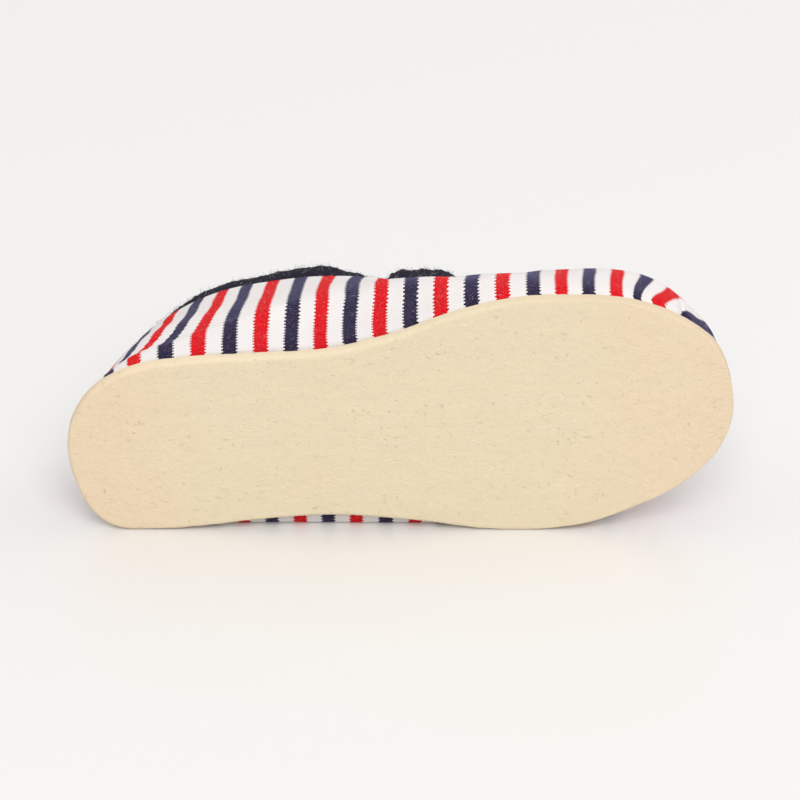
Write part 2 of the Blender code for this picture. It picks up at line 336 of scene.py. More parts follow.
# Creases of the vamp, seen from above
vampCreases = (
    # start along, start side, end along, end side, width, depth
    (0.700, -22.0, 0.672, 20.0, 4.0, 0.8),
    (0.770, -20.0, 0.755, 22.0, 4.5, 0.6),
    (0.835, -12.0, 0.832, 14.0, 4.0, 0.4),
)

folds = {
    "lowerWidth": 1.9,      # heel fold, below and above its trough
    "upperWidth": 7.0,
    "dartAlong": 0.9366,    # gather over each corner of the toe
    "dartDepth": 1.1,
    "dartWidth": 0.55,
    "dartTop": 13.0,        # height where it has faded
    "puckerDepth": 0.16,    # small gathers around the toe where the jersey is lasted
    "puckerPitch": 5.2,
}


def nearLine(a, b, start, end):
    # distance from points (a, b) to a straight line between two points
    run = np.array(end) - np.array(start)
    share = ((a - start[0]) * run[0] + (b - start[1]) * run[1]) / (run @ run)
    share = np.clip(share, 0.0, 1.0)
    return np.hypot(a - start[0] - share * run[0], b - start[1] - share * run[1])


def edgeTravel(ring):
    # length along the sole's edge from the heel, both sides positive
    fine = np.linspace(0.0, 1.0, 801)
    travel = []
    for side in (-1.0, 1.0):
        edge = treadOutline(side * fine[:-1])
        steps = np.linalg.norm(np.diff(edge, axis=0), axis=1)
        travel.append(np.concatenate(([0.0], np.cumsum(steps))))
    return np.where(ring < 0, np.interp(-ring, fine[:-1], travel[0]),
                    np.interp(ring, fine[:-1], travel[1]))


def shapeWall(path, ring):
    # press the folds, creases, darts and puckers into a set of rows
    out = outward(treadOutline(ring))
    height, depth = (bothSides(heelFoldTable, c, ring) for c in (1, 2))
    away = path[..., 2] - height
    width = np.where(away < 0, folds["lowerWidth"], folds["upperWidth"])
    push = depth * np.exp(-(away / width) ** 2)
    side = np.where(ring < 0, -1, 1)
    for which, a, low, b, high, width, deep in wallCreases:
        first, final = (a * last["length"], low), (b * last["length"], high)
        far = nearLine(path[..., 0], path[..., 2], first, final)
        push = push + (side == which) * deep * np.exp(-(far / width) ** 2)
    travel = edgeTravel(ring)
    dartRing = ringPosition(folds["dartAlong"])
    dart = edgeTravel(np.array([-dartRing, dartRing]))
    low = smooth(path[..., 2], folds["dartTop"], 4.0)
    beside = travel - np.where(ring < 0, dart[0], dart[1])
    push = push + folds["dartDepth"] * low * np.exp(-(beside / folds["dartWidth"]) ** 2)
    puff = smooth(alongRing(ring), 0.80, 0.92) * low
    push = push + folds["puckerDepth"] * puff * np.cos(beside * 2 * math.pi / folds["puckerPitch"])
    shaped = path - out * push[..., None]
    top = smooth(path[..., 2], 14.0, 30.0)
    for a, start, b, end, width, deep in vampCreases:
        first, final = (a * last["length"], start), (b * last["length"], end)
        far = nearLine(path[..., 0], path[..., 1], first, final)
        shaped[..., 2] -= deep * top * np.exp(-(far / width) ** 2)
    return shaped


def loftMesh(name, rows, closed=True, fabric=None):
    # a mesh whose skin runs through closed rings of points; fabric gives its UV map in metres
    count, around = rows.shape[:2]
    lower = np.arange(count if closed else count - 1)
    upper = (lower + 1) % count
    here, there = np.arange(around), (np.arange(around) + 1) % around
    faces = np.stack((lower[:, None] * around + here, upper[:, None] * around + here,
                      upper[:, None] * around + there, lower[:, None] * around + there), axis=2)
    mesh = bpy.data.meshes.new(name)
    mesh.from_pydata(place(rows.reshape(-1, 3)).tolist(), [], faces.reshape(-1, 4).tolist())
    if fabric is not None:
        layer = mesh.uv_layers.new(name="fabric")
        corners = fabric.reshape(-1, 2)[faces.reshape(-1)]
        layer.data.foreach_set("uv", corners.astype(np.float32).ravel())
    mesh.shade_smooth()
    return mesh


def faceOut(mesh):
    # turn a closed mesh right side out
    shell = bmesh.new()
    shell.from_mesh(mesh)
    bmesh.ops.remove_doubles(shell, verts=shell.verts, dist=0.004 * mm)
    bmesh.ops.recalc_face_normals(shell, faces=shell.faces)
    if shell.calc_volume(signed=True) < 0:
        bmesh.ops.reverse_faces(shell, faces=shell.faces)
    shell.to_mesh(mesh)
    shell.free()
    mesh.shade_smooth()


def addPiece(name, mesh, material, nodes):
    piece = bpy.data.objects.new(name, mesh)
    bpy.context.scene.collection.objects.link(piece)
    mesh.materials.append(material)
    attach(piece, "root")
    if nodes:
        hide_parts(*nodes)
    return piece


def hexColour(text, alpha=1.0):
    parts = [int(text[i:i + 2], 16) / 255 for i in (1, 3, 5)]
    linear = [c / 12.92 if c <= 0.04045 else ((c + 0.055) / 1.055) ** 2.4 for c in parts]
    return (*linear, alpha)


def addNode(tree, kind, links=None, **settings):
    # a node with its settings; links gives an input, by name or place, a value or a node's output
    node = tree.nodes.new(kind)
    for setting, value in settings.items():
        setattr(node, setting, value)
    for name, value in (links or {}).items():
        socket = node.inputs[name] if isinstance(name, int) else next(
            s for s in node.inputs if s.name == name and s.enabled)
        if isinstance(value, bpy.types.Node):
            value = next(s for s in value.outputs if s.enabled)
        if isinstance(value, bpy.types.NodeSocket):
            tree.links.new(value, socket)
        else:
            socket.default_value = value
    return node


def startMaterial(name, **finish):
    material = bpy.data.materials.new(name)
    material.use_nodes = True
    shader = material.node_tree.nodes["Principled BSDF"]
    for socket, value in finish.items():
        shader.inputs[socket].default_value = value
    return material, material.node_tree, shader


# Natural latex crepe: a calendered sheet, cut to shape. Matte, cream and slightly blotched, with
# shallow lumps, pits and a few darker and lighter specks.
crepeSole = {
    "thickness": 3.2,
    "bond": 0.1,            # how far the upper is pressed into it
    "edgeRound": 0.95,      # of the tread's edge, sharper at the toe and under the upper
    "toeRound": 0.4,
    "backRound": 0.35,
    "around": 640,
    "acrossRows": 56,
    "relief": ((13.0, 0.12), (4.0, 0.09), (1.8, 0.06)),     # size and height of its lumps
    "colour": "#EBDCBD",
    "warm": "#EDD7B8",
    "pale": "#F6EBD5",
    "pit": "#B9A27A",
    "edge": "#DDC9AD",      # painted shade on its cut edge, a browner cream that is strongest at the toe
    "roughness": 0.82,
}


def sheetRows(edge, ring, sheet, bottom, backRows=8):
    # skin of a sheet: from its middle line over the underside, round its edge and back on top
    reach = np.clip(alongRing(ring), 0.17, 0.84) * last["length"]
    spine = np.stack((reach, 0.0 * reach, 0.0 * reach), axis=1)
    out = outward(edge)
    thick, back = sheet["thickness"], sheet["backRound"]
    toeShare = smooth(alongRing(ring), 0.55, 0.82)[:, None]
    front = sheet["edgeRound"] + (sheet["toeRound"] - sheet["edgeRound"]) * toeShare
    cut = edge - out * front
    under = np.linspace(0.0, 1.0, sheet["acrossRows"])[:-1]
    rows = [spine + (cut - spine) * share for share in under]
    normals = [-up + 0.0 * out] * len(rows)
    for curve, lift, start in ((front, front, 0.0), (back, thick - back, 1.0)):
        cut = edge - out * curve
        for quarter in np.linspace(0.0, 1.0, 5):
            angle = (start + quarter) * math.pi / 2
            normal = out * math.sin(angle) - up * math.cos(angle)
            rows.append(cut + up * lift + normal * curve)
            normals.append(normal)
    for share in np.linspace(1.0, 0.0, backRows)[1:]:
        rows.append(spine + (cut - spine) * share + up * thick)
        normals.append(up + 0.0 * out)
    return toeBend(np.stack(rows) + up * bottom), np.stack(normals)


def crepeMaterial():
    material, tree, shader = startMaterial("naturalLatexCrepe", **{
        "Roughness": crepeSole["roughness"], "Specular IOR Level": 0.25})
    spot = addNode(tree, "ShaderNodeTexCoord").outputs["Object"]
    # it has yellowed less at the two ends of the sole, in soft patches
    parts = addNode(tree, "ShaderNodeSeparateXYZ", {"Vector": spot})
    reach = addNode(tree, "ShaderNodeMath", {0: parts.outputs["X"]}, operation="ABSOLUTE")
    ends = addNode(tree, "ShaderNodeMapRange", {"Value": reach, "From Min": 35.0 * mm,
                                                "From Max": 85.0 * mm, "To Min": -0.25,
                                                "To Max": 0.55})
    blotch = addNode(tree, "ShaderNodeTexNoise", {"Vector": spot, "Scale": 60.0, "Detail": 4.0})
    mixed = addNode(tree, "ShaderNodeMath", {0: blotch, 1: ends}, operation="ADD")
    share = addNode(tree, "ShaderNodeMapRange", {"Value": mixed, "From Min": 0.35, "From Max": 0.95})
    cream = addNode(tree, "ShaderNodeMix", {"Factor": share, "A": hexColour(crepeSole["colour"]),
                                            "B": hexColour(crepeSole["warm"])}, data_type="RGBA")
    # flecks and pits of 0.3 to 0.8 mm, where a noise runs highest and lowest
    fleck = addNode(tree, "ShaderNodeTexNoise", {"Vector": spot, "Scale": 800.0, "Detail": 3.0,
                                                 "Roughness": 0.55, "Distortion": 0.3})
    pits = addNode(tree, "ShaderNodeMapRange", {"Value": fleck, "From Min": 0.645, "From Max": 0.74,
                                                "To Max": 0.3})
    light = addNode(tree, "ShaderNodeMapRange", {"Value": fleck, "From Min": 0.36, "From Max": 0.28,
                                                 "To Max": 0.7})
    pitted = addNode(tree, "ShaderNodeMix", {"Factor": pits, "A": cream,
                                             "B": hexColour(crepeSole["pit"])}, data_type="RGBA")
    flecked = addNode(tree, "ShaderNodeMix", {"Factor": light, "A": pitted,
                                              "B": hexColour(crepeSole["pale"])}, data_type="RGBA")
    # painted shade: the cut edge faces up into the light and would show lighter than the tread, so its
    # colour is pulled toward a darker, browner cream
    cut = addNode(tree, "ShaderNodeAttribute", attribute_name="paintedEdgeShade")
    edgeShadedColour = addNode(tree, "ShaderNodeMix", {"Factor": cut.outputs["Fac"], "A": flecked,
                                            "B": hexColour(crepeSole["edge"])}, data_type="RGBA")
    tree.links.new(next(o for o in edgeShadedColour.outputs if o.enabled), shader.inputs["Base Color"])
    # crinkled skin: curled ridges about 1 mm apart over softer lumps
    crinkle = addNode(tree, "ShaderNodeTexNoise", {"Vector": spot, "Scale": 520.0, "Detail": 4.0,
                                                   "Roughness": 0.6, "Distortion": 2.2})
    proud = addNode(tree, "ShaderNodeMath", {0: light, 1: 0.5, 2: crinkle}, operation="MULTIPLY_ADD")
    sunk = addNode(tree, "ShaderNodeMath", {0: pits, 1: -2.2, 2: proud}, operation="MULTIPLY_ADD")
    bump = addNode(tree, "ShaderNodeBump", {"Strength": 0.48, "Distance": 0.55 * mm, "Height": sunk})
    tree.links.new(bump.outputs[0], shader.inputs["Normal"])
    return material


def makeCrepeSole():
    ring = evenRing(crepeSole["around"])
    rows, normals = sheetRows(treadOutline(ring), ring, crepeSole, 0.0)
    for seed, (size, high) in enumerate(crepeSole["relief"]):
        rows = rows + normals * (high * roughness(rows, size, seed + 1))[..., None]
    mesh = loftMesh("crepeSole", rows, closed=False)
    # how much painted shade each point of the cut edge gets: a little along the sides, most at the toe
    cut = np.clip((np.arange(len(rows)) - crepeSole["acrossRows"] + 1) / 4.0, 0.0, 1.0)
    edgeShadeShare = 0.22 + 0.65 * smooth(alongRing(ring), 0.55, 0.85)
    mesh.attributes.new("paintedEdgeShade", "FLOAT", "POINT").data.foreach_set(
        "value", (cut[:, None] * edgeShadeShare).astype(np.float32).ravel())
    faceOut(mesh)
    addPiece("crepeSole", mesh, crepeMaterial(), ["outsole"])


# Wool felt: pressed fibres, matte, almost black navy with a soft edge
felt = {
    "depth": 0.75,          # its outer face behind the jersey's
    "around": 600,
    "colour": "#1E1B29",
    "lint": "#5A5970",
    "rimHeight": 0.3,       # added to the collar table
    "rimRough": ((5.0, 0.18), (1.1, 0.45)),
}

footbed = {
    "thickness": 3.0,
    "edgeRound": 0.9,
    "toeRound": 0.9,
    "backRound": 0.9,
    "acrossRows": 40,
    "inset": 5.3,
    "bottom": 3.4,
    "around": 420,
    "relief": ((14.0, 0.12), (2.5, 0.06)),
}

# Raw felt edge above the jersey: height in millimetres and lean toward the opening in degrees
collarTable = (
    # along, height, lean
    (0.000, 4.2, 24.0),
    (0.116, 5.4, 12.0),
    (0.160, 5.8, 4.0),
    (0.198, 5.6, 0.0),
    (0.270, 5.7, 0.0),
    (0.330, 6.3, -3.0),
    (0.400, 6.4, -5.0),
    (0.430, 4.9, 1.0),
    (0.470, 3.6, 18.0),
    (0.505, 3.0, 28.0),
    (0.545, 5.8, 1.0),
    (0.620, 6.9, -6.0),
    (0.720, 7.4, -5.0),
    (0.820, 7.0, 0.0),
    (1.000, 5.4, 12.0),
)

# Section of that edge: side as a share of half its thickness, height as a share of its own
rimSection = ((-1.0, 0.2), (-1.0, 0.55), (-0.86, 0.82), (-0.5, 0.96), (0.0, 1.0),
              (0.5, 0.96), (0.86, 0.82), (1.0, 0.55), (1.0, 0.2))


def feltMaterial():
    material, tree, shader = startMaterial("navyWoolFelt", **{
        "Roughness": 0.95, "Specular IOR Level": 0.1, "Sheen Weight": 0.06, "Sheen Roughness": 0.5})
    spot = addNode(tree, "ShaderNodeTexCoord").outputs["Object"]
    # pressed fibres: curly noise about 0.4 mm wide
    curl = addNode(tree, "ShaderNodeTexNoise", {"Vector": spot, "Scale": 1400.0, "Detail": 3.0,
                                                "Distortion": 2.5})
    share = addNode(tree, "ShaderNodeMapRange", {"Value": curl, "From Min": 0.58, "From Max": 0.9})
    dyed = addNode(tree, "ShaderNodeMix", {"Factor": share, "A": hexColour(felt["colour"]),
                                           "B": hexColour(felt["lint"])}, data_type="RGBA")
    tree.links.new(next(o for o in dyed.outputs if o.enabled), shader.inputs["Base Color"])
    bump = addNode(tree, "ShaderNodeBump", {"Strength": 0.7, "Distance": 0.3 * mm, "Height": curl})
    tree.links.new(bump.outputs[0], shader.inputs["Normal"])
    return material


def makeFootbed(material):
    ring = evenRing(footbed["around"])
    edge = treadOutline(ring)
    edge = edge - outward(edge) * footbed["inset"]
    rows, normals = sheetRows(edge, ring, footbed, 0.0)
    for seed, (size, high) in enumerate(footbed["relief"]):
        rows = rows + normals * (high * roughness(rows, size, seed + 11))[..., None]
    rows[..., 2] = footbed["thickness"] - rows[..., 2]      # the fine side is the one that shows
    mesh = loftMesh("feltFootbed", rows + up * footbed["bottom"], closed=False)
    faceOut(mesh)
    addPiece("feltFootbed", mesh, material, ["insole"])


def rimRows(outer, inner, ring):
    # the raw edge that goes on from the tops of the felt's two faces
    across = unit(inner - outer)
    run = runOf(outer)
    height, lean = (bothSides(collarTable, c, ring)[:, None] for c in (1, 2))
    height = height + felt["rimHeight"]
    lean = np.radians(lean)
    stand = unit(across * level) * np.sin(lean) + up * np.cos(lean)
    stand = unit(stand - run * np.sum(stand * run, axis=1, keepdims=True))
    thick = np.cross(run, stand)
    half = np.linalg.norm(inner - outer, axis=1, keepdims=True) / 2
    foot = (outer + inner) / 2
    rows = []
    for side, share in rimSection:
        row = foot + thick * half * side + stand * height * share
        for seed, (size, rough) in enumerate(felt["rimRough"]):
            push = rough * roughness(row, size, seed + 21)[:, None] * share
            row = row + thick * push * side + stand * push
        rows.append(row)
    return np.stack(rows)


def makeFeltShell(ring, material):
    rows = sectionRows(ring, crepeSole["thickness"] - crepeSole["bond"])
    outer = shapeWall(softPath(innerRows(rows, felt["depth"]), 3), ring)
    inner = shapeWall(softPath(innerRows(rows, last["wall"]), 12), ring)
    rim = rimRows(outer[-1], inner[-1], ring)
    skin = toeBend(np.concatenate((outer, rim, inner[::-1])))
    mesh = loftMesh("feltShell", skin)
    faceOut(mesh)
    addPiece("feltShell", mesh, material, ["upper", "collar"])
    return toeBend(np.concatenate((outer[-1:], rim, inner[-1:])))


# Single jersey laminated on the felt: courses run along the stripes and wales across them, so a
# stripe's edge is a row of small teeth, one to each wale. Brushed, with a few loose fibres.
jersey = {
    "thickness": 0.7,
    "around": 600,
    "rows": 120,
    "edgeRough": 0.12,
    "stripePitch": 8.0,     # from the middle of a red stripe to the middle of a navy one
    "repeatCourses": 30.0,  # courses in one red and one navy stripe and the white beside them
    "stripeCourses": 7.0,
    "wale": 0.9,            # the real one is 0.73, drawn coarser so that its teeth show
    "waleSpread": 0.4,      # how much it widens where the wall rounds over
    "waleSpreadAhead": 0.28,    # and from the ball on
    "toothCourses": 0.95,    # how far a wale's middle leads its sides
    "ballAlong": 100.0,     # where the stripes lie straight across the vamp, and which one that is
    "ballNumber": 10.0,
    "vampPitch": 8.1,
    "toeEase": 0.58,        # how much of a stripe the cloth is pulled back by over the toe
    "sheen": 0.8,
    "uneven": 0.8,          # how unevenly the loops took the dye
    "white": "#EEE9E8",
    "red": "#E10D1C",
    "navy": "#292240",
    "redNap": "#8E4640",    # colour that the brushed nap adds where the light grazes it
    "navyNap": "#727092",
}

# Stripes at the sole's edge, even numbers red and odd ones navy: an even pitch along the shoe, and
# eases over which the cloth gains or loses part of a stripe. Behind the heel they fan out evenly.
edgeStripes = {
    "pitch": 8.0,
    "heelNumber": -5.0,
    "innerFanEnd": 20.5,    # where the fan ends on each side
    "outerFanEnd": 26.5,
    "innerStart": -2.55,    # number at the heel if the even pitch went on to there
    "outerStart": -3.3,
}

edgeEases = (
    # start, end, inner gain, outer gain
    (20.0, 40.0, -0.1, 0.0),        # waist
    (50.0, 85.0, 0.15, 0.0),
    (25.0, 95.0, 0.0, 0.4),
    (80.0, 110.0, 0.0, 0.4),
    (120.0, 150.0, 0.45, 0.45),     # gathers of the toe
    (145.0, 155.0, 0.7, 0.7),
    (155.0, 180.0, -1.1, -1.1),     # let out again around the tip
    (160.8, 161.4, 0.25, 0.25),     # cloth that the dart takes up
)

# How far the stripes stand forward of their own line, as a share of the pitch: above the heel's
# fold, where the cloth has slid, higher up the wall of the waist, and less so at the collar
leanTable = (
    # along, above the fold, up the wall, back at the collar
    (0.00, 0.00, 0.00, 0.00),
    (0.03, 0.25, 0.00, 0.00),
    (0.06, 0.45, 0.00, 0.00),
    (0.12, 0.47, 0.00, 0.02),
    (0.15, 0.36, 0.00, 0.04),
    (0.19, 0.17, 0.00, 0.09),
    (0.23, 0.05, 0.03, 0.14),
    (0.30, 0.00, 0.04, 0.10),
    (0.35, 0.00, 0.06, 0.06),
    (0.40, 0.00, 0.10, 0.05),
    (0.45, 0.00, 0.15, 0.08),
    (0.54, 0.00, 0.07, 0.08),
    (0.70, 0.00, 0.02, 0.00),
    (1.00, 0.00, 0.00, 0.00),
)

# Height over which the gathers at the sole's edge even out
gatherTable = (
    # along, height
    (0.000, 20.0),
    (0.820, 18.0),
    (0.870, 13.0),
    (0.905, 12.5),
    (0.935, 14.0),
    (0.940, 12.0),
    (1.000, 13.0),
)


def sideStripes(along, side):
    number = edgeStripes[side + "Start"] + along / edgeStripes["pitch"]
    for start, end, inner, outer in edgeEases:
        gain = inner if side == "inner" else outer
        number = number + gain * smooth(along, start, end)
    return number


def stripesAtEdge(ring):
    along = alongRing(ring) * last["length"]
    numbers = []
    for side in ("inner", "outer"):
        fanEnd = edgeStripes[side + "FanEnd"]
        share = np.abs(ring) / ringPosition(fanEnd / last["length"])
        heel = edgeStripes["heelNumber"]
        fan = heel + (sideStripes(fanEnd, side) - heel) * share
        numbers.append(np.where(along < fanEnd, fan, sideStripes(along, side)))
    return np.where(ring < 0, *numbers)


def straightStripe(along):
    straight = jersey["ballNumber"] + (along - jersey["ballAlong"]) / jersey["vampPitch"]
    return straight + jersey["toeEase"] * smooth(along, 115.0, 165.0)


def fabricMap(path, ring):
    # across the stripes and along them, in metres of cloth
    edge = treadOutline(ring)
    out = outward(edge)
    atEdge = stripesAtEdge(ring)
    lift = np.clip(pathLength(path) - last["margin"] - last["turnRound"], 0.0, None)
    rise = np.clip(lift / bothSides(gatherTable, 1, ring), 0.0, 1.0)
    toe = smooth(alongRing(ring), 0.83, 0.88)       # there the stripes lean from the sole up
    gather = (1.0 - smooth(rise, 0.0, 1.0)) * (1.0 - toe) + (1.0 - rise) ** 1.5 * toe
    vamp = smooth(edge[:, 0], 70.0, 95.0)
    eased = straightStripe(path[..., 0]) + (atEdge - straightStripe(edge[:, 0])) * gather
    number = atEdge * (1.0 - vamp) + eased * vamp
    fold = bothSides(heelFoldTable, 1, ring)
    slid, leaning, back = (bothSides(leanTable, c, ring) for c in (1, 2, 3))
    number -= slid * smooth(path[..., 2] - fold, -1.0, 6.0) * (1.0 - 0.8 * smooth(lift, 18.0, 30.0))
    number -= leaning * smooth(lift, 0.0, 18.0) - back * smooth(lift, 22.0, 34.0)
    frontal = np.clip(out[:, 0], 0.0, 1.0) ** 2
    legs = np.diff(path, axis=0)
    girth = np.sqrt(legs[..., 1] ** 2 + (1.0 - frontal) * legs[..., 2] ** 2)
    ahead = smooth(alongRing(ring), 0.45, 0.6)      # the wall rounds over sooner from the ball on
    onWall = 1.0 - smooth(lift[1:], 15.0, 22.0)     # the vamp keeps the even gauge
    rounded = jersey["waleSpread"] * smooth(lift[1:], 2.0, 13.0 - 5.0 * ahead)
    girth = girth * (1.0 - rounded * onWall) * (1.0 - jersey["waleSpreadAhead"] * ahead * onWall)
    below = np.concatenate((np.cumsum(girth[::-1], axis=0)[::-1], np.zeros((1, len(ring)))))
    across = np.abs(path[-1, :, 1]) + below
    return np.stack((number * jersey["stripePitch"], across), axis=2) * mm


def jerseyMaterial():
    material, tree, shader = startMaterial("brushedStripedJersey", **{
        "Roughness": 0.9, "Specular IOR Level": 0.06, "Sheen Roughness": 0.4})
    cloth = addNode(tree, "ShaderNodeUVMap", uv_map="fabric")
    parts = addNode(tree, "ShaderNodeSeparateXYZ", {"Vector": cloth})
    wales = addNode(tree, "ShaderNodeMath", {0: parts.outputs["Y"], 1: 1.0 / (jersey["wale"] * mm)},
                    operation="MULTIPLY")
    leg = addNode(tree, "ShaderNodeMath", {0: wales, 1: 0.5}, operation="PINGPONG")
    step = addNode(tree, "ShaderNodeMapRange", {"Value": leg, "From Min": 0.08, "From Max": 0.42},
                   interpolation_type="SMOOTHSTEP")
    perMetre = jersey["repeatCourses"] / (2.0 * jersey["stripePitch"] * mm)
    courses = addNode(tree, "ShaderNodeMath", {0: parts.outputs["X"], 1: perMetre},
                      operation="MULTIPLY")
    wander = addNode(tree, "ShaderNodeTexNoise", {"Vector": cloth, "Scale": 260.0, "Detail": 2.0})
    drift = addNode(tree, "ShaderNodeMath", {0: wander, 1: 0.8, 2: courses},
                    operation="MULTIPLY_ADD")
    tooth = addNode(tree, "ShaderNodeMath", {0: step, 1: jersey["toothCourses"], 2: drift},
                    operation="MULTIPLY_ADD")
    half = jersey["stripeCourses"] / 2.0
    centred = addNode(tree, "ShaderNodeMath", {0: tooth, 1: half - jersey["toothCourses"] / 2 - 0.4},
                      operation="ADD")
    place30 = addNode(tree, "ShaderNodeMath", {0: centred, 1: jersey["repeatCourses"]},
                      operation="FLOORED_MODULO")
    red = addNode(tree, "ShaderNodeMath", {0: place30, 1: half, 2: half}, operation="COMPARE")
    navy = addNode(tree, "ShaderNodeMath", {0: place30, 1: half + jersey["repeatCourses"] / 2,
                                            2: half}, operation="COMPARE")
    reds = addNode(tree, "ShaderNodeMix", {"Factor": red, "A": hexColour(jersey["white"]),
                                           "B": hexColour(jersey["red"])}, data_type="RGBA")
    yarn = addNode(tree, "ShaderNodeMix", {"Factor": navy, "A": reds,
                                           "B": hexColour(jersey["navy"])}, data_type="RGBA")
    # loops: a ridge for each leg of a wale, a dip between courses
    ridge = addNode(tree, "ShaderNodeMath", {0: leg, 1: 2.0 * math.pi}, operation="MULTIPLY")
    legs = addNode(tree, "ShaderNodeMath", {0: ridge}, operation="SINE")
    turn = addNode(tree, "ShaderNodeMath", {0: tooth, 1: 2.0 * math.pi}, operation="MULTIPLY")
    dips = addNode(tree, "ShaderNodeMath", {0: turn}, operation="COSINE")
    knit = addNode(tree, "ShaderNodeMath", {0: dips, 1: 0.4, 2: legs}, operation="MULTIPLY_ADD")
    # dyed loops are shaded more than white ones, and no two took the dye alike
    dyed = addNode(tree, "ShaderNodeMath", {0: red, 1: navy}, operation="MAXIMUM")
    least = addNode(tree, "ShaderNodeMapRange", {"Value": dyed, "To Min": 0.86, "To Max": 0.55})
    shade = addNode(tree, "ShaderNodeMapRange", {"Value": knit, "From Min": -0.4, "From Max": 0.9,
                                                 "To Min": least, "To Max": 1.04})
    uneven = addNode(tree, "ShaderNodeTexNoise", {"Vector": cloth, "Scale": 1300.0, "Detail": 2.0})
    range30 = addNode(tree, "ShaderNodeMapRange", {"Value": dyed, "To Max": jersey["uneven"]})
    patchy = addNode(tree, "ShaderNodeMath", {0: uneven, 1: -0.5}, operation="ADD")
    spread = addNode(tree, "ShaderNodeMath", {0: patchy, 1: range30, 2: shade},
                     operation="MULTIPLY_ADD")
    dark = addNode(tree, "ShaderNodeMix", {"Factor": 1.0, "A": yarn, "B": spread}, data_type="RGBA",
                   blend_type="MULTIPLY")
    # brushed nap: short pale streaks over the dyed yarn
    streak = addNode(tree, "ShaderNodeTexNoise", {"Vector": cloth, "Scale": 1500.0, "Detail": 2.0,
                                                  "Distortion": 3.0})
    nap = addNode(tree, "ShaderNodeMapRange", {"Value": streak, "From Min": 0.52, "From Max": 0.80,
                                               "To Max": 0.17})
    fuzzy = addNode(tree, "ShaderNodeMix", {"Factor": nap, "A": dark,
                                            "B": hexColour(jersey["white"])}, data_type="RGBA")
    tree.links.new(next(o for o in fuzzy.outputs if o.enabled), shader.inputs["Base Color"])
    grazed = addNode(tree, "ShaderNodeMix", {"Factor": navy, "A": hexColour(jersey["redNap"]),
                                             "B": hexColour(jersey["navyNap"])}, data_type="RGBA")
    tree.links.new(next(o for o in grazed.outputs if o.enabled), shader.inputs["Sheen Tint"])
    sheen = addNode(tree, "ShaderNodeMath", {0: dyed, 1: jersey["sheen"]}, operation="MULTIPLY")
    tree.links.new(sheen.outputs[0], shader.inputs["Sheen Weight"])
    bump = addNode(tree, "ShaderNodeBump", {"Strength": 0.6, "Distance": 0.12 * mm, "Height": knit})
    tree.links.new(bump.outputs[0], shader.inputs["Normal"])
    return material


def makeJersey(ring):
    rows = sectionRows(ring, crepeSole["thickness"] - crepeSole["bond"])
    outer = evenRows(softPath(rows, 24), jersey["rows"])
    inner = softPath(innerRows(rows, jersey["thickness"]), 4)
    rough = jersey["edgeRough"] * roughness(outer[-1], 0.8, 31)[:, None]
    outer[-1] += unit(outer[-1] - outer[-2]) * rough
    inner[-1] += unit(inner[-1] - inner[-2]) * rough
    cloth = np.concatenate((fabricMap(outer, ring), fabricMap(inner, ring)[::-1]))
    skin = toeBend(np.concatenate((shapeWall(outer, ring), shapeWall(inner, ring)[::-1])))
    mesh = loftMesh("jerseyUpper", skin, fabric=cloth)
    mesh.update()
    addPiece("jerseyUpper", mesh, jerseyMaterial(), ["upper"])
    return toeBend(shapeWall(outer, ring))


# Loose fibres: short bent hairs. A real one is 0.02 mm across, and these are two to four times
# that at the root so that they show.
fuzz = {
    "rim": {"density": 1.6e6, "length": 1.7 * mm, "radius": 0.040 * mm, "tilt": 1.0, "seed": 3},
    "rimPale": {"density": 0.45e6, "length": 1.6 * mm, "radius": 0.026 * mm, "tilt": 1.3, "seed": 8},
    "jersey": {"density": 0.07e6, "length": 1.6 * mm, "radius": 0.020 * mm, "tilt": 1.45, "seed": 5},
    "wave": 0.9,            # how far a hair wanders, as a share of its length
    "floorGap": 0.01 * mm,  # between the floor and a hair that lies along it
}


